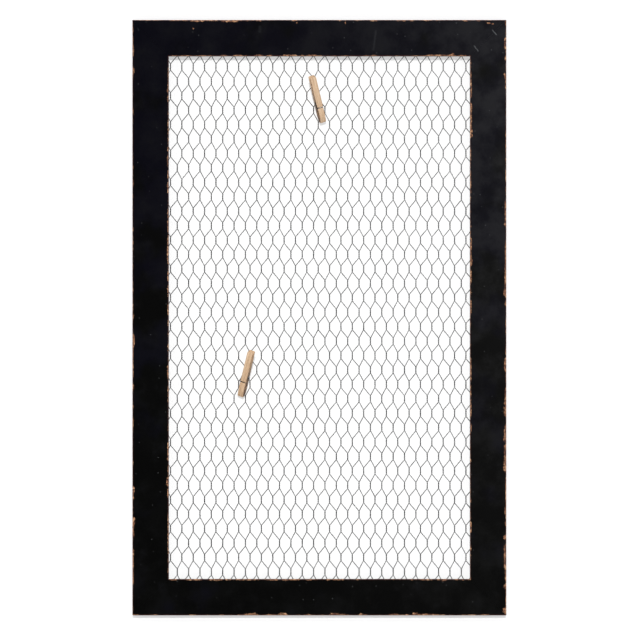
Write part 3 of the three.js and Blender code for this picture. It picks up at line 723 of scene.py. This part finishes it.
pin_pitch = math.radians(25)
pin_lean = math.radians(13.4)
coil_height = 26.8 * mm
leg_turn = math.radians(1.778)
pin_width = 10 * mm
leg_thickness = 7.6 * mm
handle_thickness = 2.4 * mm
tip_thickness = 3.4 * mm
tip_z = -34.8 * mm
handle_z = 48.2 * mm
taper_z = -17.8 * mm
jaw_groove_z = -18.3 * mm
jaw_groove_radius = 2.6 * mm
coil_groove_radius = 3.5 * mm
arm_z = -7 * mm
arm_groove_radius = 1 * mm
handle_bevel = 2.2 * mm
handle_relief = 0.4 * mm
corner_cut = 0.9 * mm
tip_steps = 6
leg_middle_z = (tip_z + handle_z) / 2


def side_point(y, z):
    return Vector((-pin_width / 2, y, z))


def leg_outline():
    """The side of the front leg, with its flat inner face on y = 0 and the spring's middle at 0."""
    relief = math.degrees(math.asin(handle_relief / coil_groove_radius))
    points = [side_point(0, tip_z)]
    points += arc(side_point(0, jaw_groove_z), jaw_groove_radius, -90, -270, 14)
    points += arc(side_point(0, 0), coil_groove_radius, -90, relief - 270, 16)
    points.append(side_point(handle_thickness - leg_thickness, handle_z))
    points.append(side_point(-leg_thickness, handle_z - handle_bevel))
    points += arc(side_point(-leg_thickness, arm_z), arm_groove_radius, 90, -90, 8)
    middle = side_point(-leg_thickness, (taper_z + tip_z) / 2)
    ends = side_point(-leg_thickness, taper_z), side_point(-tip_thickness, tip_z)
    for k in range(tip_steps + 1):
        share = k / tip_steps
        curve = ends[0] * (1 - share) ** 2 + middle * 2 * share * (1 - share) + ends[1] * share**2
        points.append(curve)
    return points


def pin_leg():
    """One leg, cut from a strip: its corners are taken off at the handle, and its edges eased."""
    leg = filled_outline("pin_leg", leg_outline(), Vector((pin_width, 0, 0)))
    with shaping(leg):
        for side in (-1, 1):
            bpy.ops.mesh.select_all(action="SELECT")
            bpy.ops.mesh.bisect(
                plane_co=(side * pin_width / 2, 0, handle_z - corner_cut),
                plane_no=(2 * side, 0, 1), use_fill=True, clear_outer=True, threshold=0.001 * mm,
            )
    modified(
        leg, "BEVEL", width=0.45 * mm, segments=3, limit_method="ANGLE", angle_limit=math.radians(32),
        use_clamp_overlap=True,
    )
    smoothed(leg, 15)
    return leg


def wood_finish(name, place, shift):
    """Pale planed beech, with its grain along the leg and its end grain darker. The side faces, most of
    all below the spring, and the faces towards the other leg carry painted shade.
    """
    wood = Finish(name, Specular_IOR_Level=0.35)
    inputs = {
        "Vector": wood.place, "Location": place.to_translation(), "Rotation": place.to_euler(),
    }
    own = wood.node("Mapping", inputs, vector_type="TEXTURE")
    moved = wood.node("VectorMath", {0: own, 1: shift}, operation="ADD")
    rings = wood.noise(wood.stretched(moved, (1, 1, 0.06)), 2.2 * mm, 3.0, 0.6)
    fibres = wood.noise(wood.stretched(moved, (1, 1, 0.035)), 0.45 * mm, 2.0, 0.6)
    flecks = wood.noise(wood.stretched(moved, (1, 1, 0.16)), 0.5 * mm, 1.0, 0.5)
    blotches = wood.noise(moved, 14 * mm, 2.0, 0.5)
    grain = rings * 0.5 + fibres * 0.3 + blotches * 0.2
    pale = wood.colours(
        grain, (0.34, (0.53, 0.335, 0.195)), (0.64, (0.85, 0.63, 0.43)), (0.50, (0.74, 0.51, 0.325)),
    )
    pores = wood.fade(flecks, 0.64, 0.74) * 0.55
    side, depth, height = wood.split(own)
    ends = wood.fade(abs(height - leg_middle_z), 40.6 * mm, 41.6 * mm)
    flecked = wood.blend(pores, pale, (0.27, 0.13, 0.055))
    # Painted shade: the side faces are darker, and darker still below the spring, where the gap between
    # the legs is in shadow.
    on_side_faces = wood.fade(abs(side), pin_width / 2 - 0.35 * mm, pin_width / 2 - 0.1 * mm)
    # Painted shade on the faces that look towards the other leg, and on the inner half of the side
    # faces.
    shade_towards_other_leg = wood.fade(depth, -3.2 * mm, -0.6 * mm)
    shade_below_spring = 1 - wood.fade(height, -14 * mm, 0)
    with_side_shade = wood.blend(on_side_faces * (0.4 + shade_below_spring * 0.5), flecked, (0.19, 0.078, 0.024))
    shaded = wood.blend(shade_towards_other_leg * 0.5, with_side_shade, (0.15, 0.066, 0.022))
    colour = wood.blend(ends * 0.35, shaded, (0.33, 0.175, 0.08))
    roughness = wood.between(fibres, 0.52, 0.7)
    relief = fibres * 0.5 + rings * 0.2 - pores * 0.6
    return wood.shows(Base_Color=colour, Roughness=roughness, Normal=wood.bump(relief, 0.1 * mm))


spring_wire = 1.4 * mm
coil_radius = 2.5 * mm
coil_turns = 7
coil_reach = pin_width / 2 + 0.3 * mm + spring_wire / 2
coil_steps_per_turn = 20
arm_bend = 1.5 * mm
arm_bend_steps = 8


def spring_path():
    """Along the front arm, round the coil and back along the rear arm."""
    arm_y = -leg_thickness
    reach = math.hypot(arm_y, arm_z)
    leave = math.atan2(arm_y, arm_z) + math.acos(coil_radius / reach)
    turned = 2 * math.pi * coil_turns - 2 * leave
    steps = round(coil_steps_per_turn * turned / (2 * math.pi))
    coil = []
    for k in range(steps + 1):
        angle = leave + turned * k / steps
        x = coil_reach * (2 * k / steps - 1)
        coil.append(Vector((x, coil_radius * math.sin(angle), coil_radius * math.cos(angle))))
    corner = Vector((-coil_reach, arm_y, arm_z))
    away = (coil[0] - corner).normalized()
    arm = [Vector((pin_width / 2 - 0.6 * mm, arm_y, arm_z))]
    for k in range(arm_bend_steps + 1):
        share = k / arm_bend_steps
        arm.append(corner + Vector((arm_bend * (1 - share) ** 2, 0, 0)) + away * arm_bend * share**2)
    other = [Vector((-p.x, -p.y, p.z)) for p in reversed(arm)]
    return [*arm, *coil, *other]


first_leg = pin_leg()
first_spring = bent_wire("pin_spring", spring_path(), spring_wire, 3)
for name, grip, side in (("upper_pin", upper_grip, -1), ("lower_pin", lower_grip, 1)):
    on_wire = Matrix.Translation(grip) @ Matrix.Rotation(side * wire_slope, 4, "Y")
    lean = math.atan(math.cos(pin_pitch) * math.tan(side * (pin_lean - wire_slope)))
    tipped = Matrix.Rotation(pin_pitch, 4, "X") @ Matrix.Rotation(lean, 4, "Y")
    coil_place = on_wire @ tipped @ Matrix.Translation((0, 0, coil_height))
    turns = {
        "front": Matrix.Rotation(-leg_turn, 4, "X"),
        "rear": Matrix.Rotation(leg_turn, 4, "X") @ Matrix.Rotation(math.pi, 4, "Z"),
    }
    for end, turn in turns.items():
        leg = copied(first_leg, f"{name}_{end}_leg_wood")
        place = coil_place @ turn
        set_down(leg, place)
        shift = Vector((7, 3, 11)) * mm * (1 + len(bpy.data.materials))
        dress(wood_finish(f"{name}_{end}_leg_beech", place, shift), leg)
        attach(leg, f"{name}_front" if end == "front" else "board")
        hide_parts(f"{name}_{end}_leg")
    spring = copied(first_spring, f"{name}_spring_wire")
    set_down(spring, coil_place)
    dress(spring_steel, spring)
    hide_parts(f"{name}_spring")
    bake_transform(spring)
discard(first_leg)
discard(first_spring)

# ---- Ring hangers ----

strap_back = 1.3 * mm
strap_front = 0.3 * mm
strap_width = 10 * mm
strap_length = 38 * mm
end_cuts = 16
ring_wire = 2.2 * mm
ring_inner_width = 17 * mm
ring_inner_height = 12.5 * mm
ring_corner = 3 * mm
ring_bow_steps = 24
curl_radius = ring_wire / 2 + 0.22 * mm
ring_y = strap_back + curl_radius
curl_angle = 290
hole_drops = (21.5 * mm, 31.5 * mm)
screw_head = 3.1 * mm
screw_crown = 2 * mm
screw_shank = 1.5 * mm
screw_core = 1.15 * mm
screw_tip = 3 * mm
screw_length = 12 * mm
thread_turns = 9
thread_steps_per_turn = 14


def strap_body():
    """A stamped strap: curled over the ring at the top, round at the bottom and drilled twice."""
    left = Vector((-strap_width / 2, 0, 0))
    pivot = left + Vector((0, ring_y, 0))
    outer = curl_radius + strap_back - strap_front
    outline = [left + Vector((0, y, -strap_length)) for y in (strap_front, strap_back)]
    outline += arc(pivot, curl_radius, 180, 180 - curl_angle, 26)
    outline += arc(pivot, outer, 180 - curl_angle, 180, 26)
    strap = filled_outline("strap", outline, Vector((strap_width, 0, 0)))
    half = strap_width / 2
    with shaping(strap):
        for k in range(end_cuts):
            turn = math.pi * (k + 0.5) / end_cuts
            outward = Vector((math.cos(turn), 0, -math.sin(turn)))
            bpy.ops.mesh.select_all(action="SELECT")
            bpy.ops.mesh.bisect(
                plane_co=outward * half - Vector((0, 0, strap_length - half)), plane_no=outward,
                use_fill=True, clear_outer=True, threshold=0.001 * mm,
            )
    for drop in hole_drops:
        drill = started(
            "drill", bpy.ops.mesh.primitive_cylinder_add, vertices=32, radius=screw_shank + 0.3 * mm,
            depth=4 * mm, location=(0, strap_back, -drop), rotation=(math.pi / 2, 0, 0),
        )
        modified(strap, "BOOLEAN", object=drill, operation="DIFFERENCE", solver="EXACT")
        discard(drill)
    modified(
        strap, "BEVEL", width=0.12 * mm, segments=2, limit_method="ANGLE", angle_limit=math.radians(50),
    )
    smoothed(strap, 40)
    return strap


def ring_path():
    """A straight bar in the strap's curl, and a bow hanging below it."""
    half = (ring_inner_width + ring_wire) / 2
    corner = ring_corner
    drop = ring_inner_height + ring_wire
    right = Vector((1, 0, 0))
    middle = Vector((0, ring_y, 0))
    points = arc(middle + Vector((half - corner, 0, -corner)), corner, 90, 0, 6, right)
    for k in range(1, ring_bow_steps + 1):
        turn = -math.pi * k / ring_bow_steps
        low = (drop - corner) * math.sin(turn) - corner
        points.append(middle + Vector((half * math.cos(turn), 0, low)))
    points += arc(middle + Vector((corner - half, 0, -corner)), corner, 180, 90, 6, right)[1:]
    return [*points, points[0]]


def screw():
    """A pan-head screw: turned from its outline, with a cross recess and a thread."""
    profile = [
        (0, -screw_length), (screw_core, screw_tip - screw_length), (screw_core, 0),
        (screw_head, 0), (screw_head, screw_crown * 0.45), (screw_head * 0.93, screw_crown * 0.72),
        (screw_head * 0.72, screw_crown * 0.92), (screw_head * 0.4, screw_crown), (0, screw_crown),
    ]
    body = drawn_line("screw", [Vector((x, y, 0)) for x, y in profile])
    with shaping(body):
        bpy.ops.mesh.spin(steps=28, angle=2 * math.pi, center=(0, 0, 0), axis=(0, 1, 0))
        bpy.ops.mesh.select_all(action="SELECT")
        bpy.ops.mesh.remove_doubles(threshold=0.01 * mm)
        bpy.ops.mesh.normals_make_consistent(inside=False)
    for turn in (0, math.pi / 2):
        blade = started(
            "blade", bpy.ops.mesh.primitive_cube_add, size=1, location=(0, screw_crown, 0),
        )
        blade.scale = (3.4 * mm, 2.2 * mm, 0.62 * mm)
        blade.rotation_euler = (0, turn + math.radians(20), 0)
        modified(body, "BOOLEAN", object=blade, operation="DIFFERENCE", solver="EXACT")
        discard(blade)
    steps = thread_turns * thread_steps_per_turn
    thread = []
    for k in range(steps + 1):
        angle = 2 * math.pi * k / thread_steps_per_turn
        thin = min(1, (steps - k) / (2 * thread_steps_per_turn))
        radius = 1.2 * mm * thin + 0.1 * mm
        down = -0.6 * mm - (screw_length - 1.6 * mm) * k / steps
        thread.append(Vector((radius * math.cos(angle), down, radius * math.sin(angle))))
    ridge = bent_wire("thread", thread, 0.4 * mm, 0)
    pick(body)
    ridge.select_set(True)
    bpy.ops.object.join()
    smoothed(body, 35)
    return body


first_strap = strap_body()
first_ring = bent_wire("ring", ring_path(), ring_wire, 4)
first_screw = screw()
for side in ("left", "right"):
    strap_low, strap_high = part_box(f"{side}_hanger_strap")
    x = (strap_low.x + strap_high.x) / 2
    hanger_place = Matrix.Translation((x, 0, strap_low.z + strap_length))
    strap = copied(first_strap, f"{side}_hanger_strap_plate")
    set_down(strap, hanger_place)
    dress(hanger_zinc, strap)
    ring = copied(first_ring, f"{side}_hanger_ring_wire")
    set_down(ring, hanger_place)
    dress(ring_nickel, ring)
    for k, drop in enumerate(hole_drops):
        fixing = copied(first_screw, f"{side}_hanger_fixing_screw_{k + 1}")
        turned = Matrix.Rotation(math.radians(35 + 50 * k), 4, "Y")
        lift = Matrix.Translation((0, strap_back + 0.3 * mm, -drop))
        set_down(fixing, hanger_place @ lift @ turned)
        dress(screw_zinc, fixing)
        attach(fixing, "board")
        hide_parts(f"{side}_hanger_screw_{k + 1}")
    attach(strap, "board")
    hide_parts(f"{side}_hanger_strap")
    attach(ring, f"{side}_hanger_ring")
    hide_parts(f"{side}_hanger_ring")
for piece in (first_strap, first_ring, first_screw):
    discard(piece)

# ---- Staples and corner nails keep their shapes, with their sharp edges eased ----


def eased(piece, width):
    """Bevels the sharp edges of a piece by modifiers, which leave its own mesh as it is."""
    weld = piece.modifiers.new("weld", "WELD")
    weld.merge_threshold = 0.01 * mm
    bevel = piece.modifiers.new("ease", "BEVEL")
    bevel.width = width
    bevel.segments = 2
    bevel.limit_method = "ANGLE"
    bevel.angle_limit = math.radians(40)


for name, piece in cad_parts.items():
    if "_staple_" in name:
        dress(staple_steel, piece)
        eased(piece, 0.12 * mm)
    elif "_corner_nail_" in name:
        dress(nail_steel, piece)
        eased(piece, 0.08 * mm)

# ---- Wall, floor, light and camera ----

wall_gap = 5.4 * mm
wall_size = 6
floor_size = 12
floor_drop = 8 * mm
floor_z = board_bottom - floor_drop


def stage_finish(name, grey, glow, one_sided):
    """A pale surface that the camera sees as white, and that keeps the board's shadow. The glow is
    for the camera alone; a one-sided surface can't be seen from behind."""
    stage = Finish(name, Roughness=1.0, Specular_IOR_Level=0.0, Base_Color=(grey, grey, grey, 1))
    seen = stage.node("LightPath", output="Is Camera Ray")
    light = stage.node("Emission", {"Color": (1, 1, 1, 1), "Strength": seen * glow})
    lit = stage.node("AddShader", {0: Reading(stage, stage.shader.outputs[0]), 1: light})
    if one_sided:
        clear = stage.node("BsdfTransparent")
        behind = stage.node("NewGeometry", output="Backfacing")
        lit = stage.node("MixShader", {0: behind, 1: lit, 2: clear})
    output = next(n for n in stage.tree.nodes if n.type == "OUTPUT_MATERIAL")
    stage.tree.links.new(lit.socket, output.inputs[0])
    return stage.material


floor = started(
    "floor", bpy.ops.mesh.primitive_plane_add, size=floor_size, location=(0, 0, floor_z),
)
wall = started(
    "wall", bpy.ops.mesh.primitive_plane_add, size=wall_size,
    location=(0, wall_gap, floor_z + wall_size / 2), rotation=(math.pi / 2, 0, 0),
)
dress(stage_finish("floor_white", 0.8, 0.70, False), floor)
dress(stage_finish("wall_white", 0.553, 0.506, True), wall)
floor.visible_glossy = False
wall.visible_diffuse = False
wall.visible_glossy = False
wall.visible_transmission = False
wall.visible_shadow = False

world = bpy.data.worlds.new("studio")
bpy.context.scene.world = world
world.use_nodes = True
sky = world.node_tree
sky.nodes.clear()
paths = sky.nodes.new("ShaderNodeLightPath")
direction = sky.nodes.new("ShaderNodeTexCoord")
parts = sky.nodes.new("ShaderNodeSeparateXYZ")
sky.links.new(direction.outputs["Generated"], parts.inputs[0])
mirrored = sky.nodes.new("ShaderNodeMapRange")
mirrored.inputs["From Min"].default_value = -0.1
mirrored.inputs["From Max"].default_value = 0.5
mirrored.inputs["To Min"].default_value = 0.02
mirrored.inputs["To Max"].default_value = 1.0
sky.links.new(parts.outputs["Y"], mirrored.inputs["Value"])
plain = sky.nodes.new("ShaderNodeMix")
plain.inputs[2].default_value = 0.3
sky.links.new(paths.outputs["Is Glossy Ray"], plain.inputs[0])
sky.links.new(mirrored.outputs[0], plain.inputs[3])
strength = sky.nodes.new("ShaderNodeMix")
strength.inputs[3].default_value = 1.0
sky.links.new(paths.outputs["Is Camera Ray"], strength.inputs[0])
sky.links.new(plain.outputs[0], strength.inputs[2])
air = sky.nodes.new("ShaderNodeBackground")
air.inputs["Color"].default_value = (1, 1, 1, 1)
sky.links.new(strength.outputs[0], air.inputs["Strength"])
sky_output = sky.nodes.new("ShaderNodeOutputWorld")
sky.links.new(air.outputs[0], sky_output.inputs[0])


def lamp(name, kind, strength_of_lamp, place, target, **settings):
    data = bpy.data.lights.new(name, kind)
    data.energy = strength_of_lamp
    for key, setting in settings.items():
        setattr(data, key, setting)
    made = bpy.data.objects.new(name, data)
    bpy.context.scene.collection.objects.link(made)
    made.location = place
    made.rotation_euler = (Vector(target) - Vector(place)).to_track_quat("-Z", "Y").to_euler()
    return made


middle_of_board = Vector((0, 0, board_middle))
front_lamp_rise = math.radians(13)
toward_front_lamp = Vector((0, -math.cos(front_lamp_rise), math.sin(front_lamp_rise)))
front_lamp_place = middle_of_board + 5 * toward_front_lamp
sun = lamp("front_lamp", "SUN", 2.15, front_lamp_place, middle_of_board, angle=math.radians(1.2))
sun.visible_glossy = False
sheen = lamp("side_lamp", "AREA", 27, (1.35, -1.8, 0.05), middle_of_board, size=0.9)
sheen.visible_diffuse = False
lamp("back_lamp", "AREA", 60, (-1.4, 3.0, 1.2), middle_of_board, size=1.6)

# How wide the photograph is on the front of the board, and where its middle is.
photo_width = 1.0746
photo_middle_x, photo_middle_z = 0.00105, -0.4734
lens = 300
sensor = 36
camera_data = bpy.data.cameras.new("camera")
camera_data.sensor_width = sensor
camera_data.lens = lens
camera = bpy.data.objects.new("camera", camera_data)
bpy.context.scene.collection.objects.link(camera)
camera_distance = photo_width * lens / sensor
camera.location = (photo_middle_x, front_face - camera_distance, photo_middle_z)
camera.rotation_euler = (math.pi / 2, 0, 0)
bpy.context.scene.camera = camera
bpy.context.scene.view_settings.view_transform = "Standard"
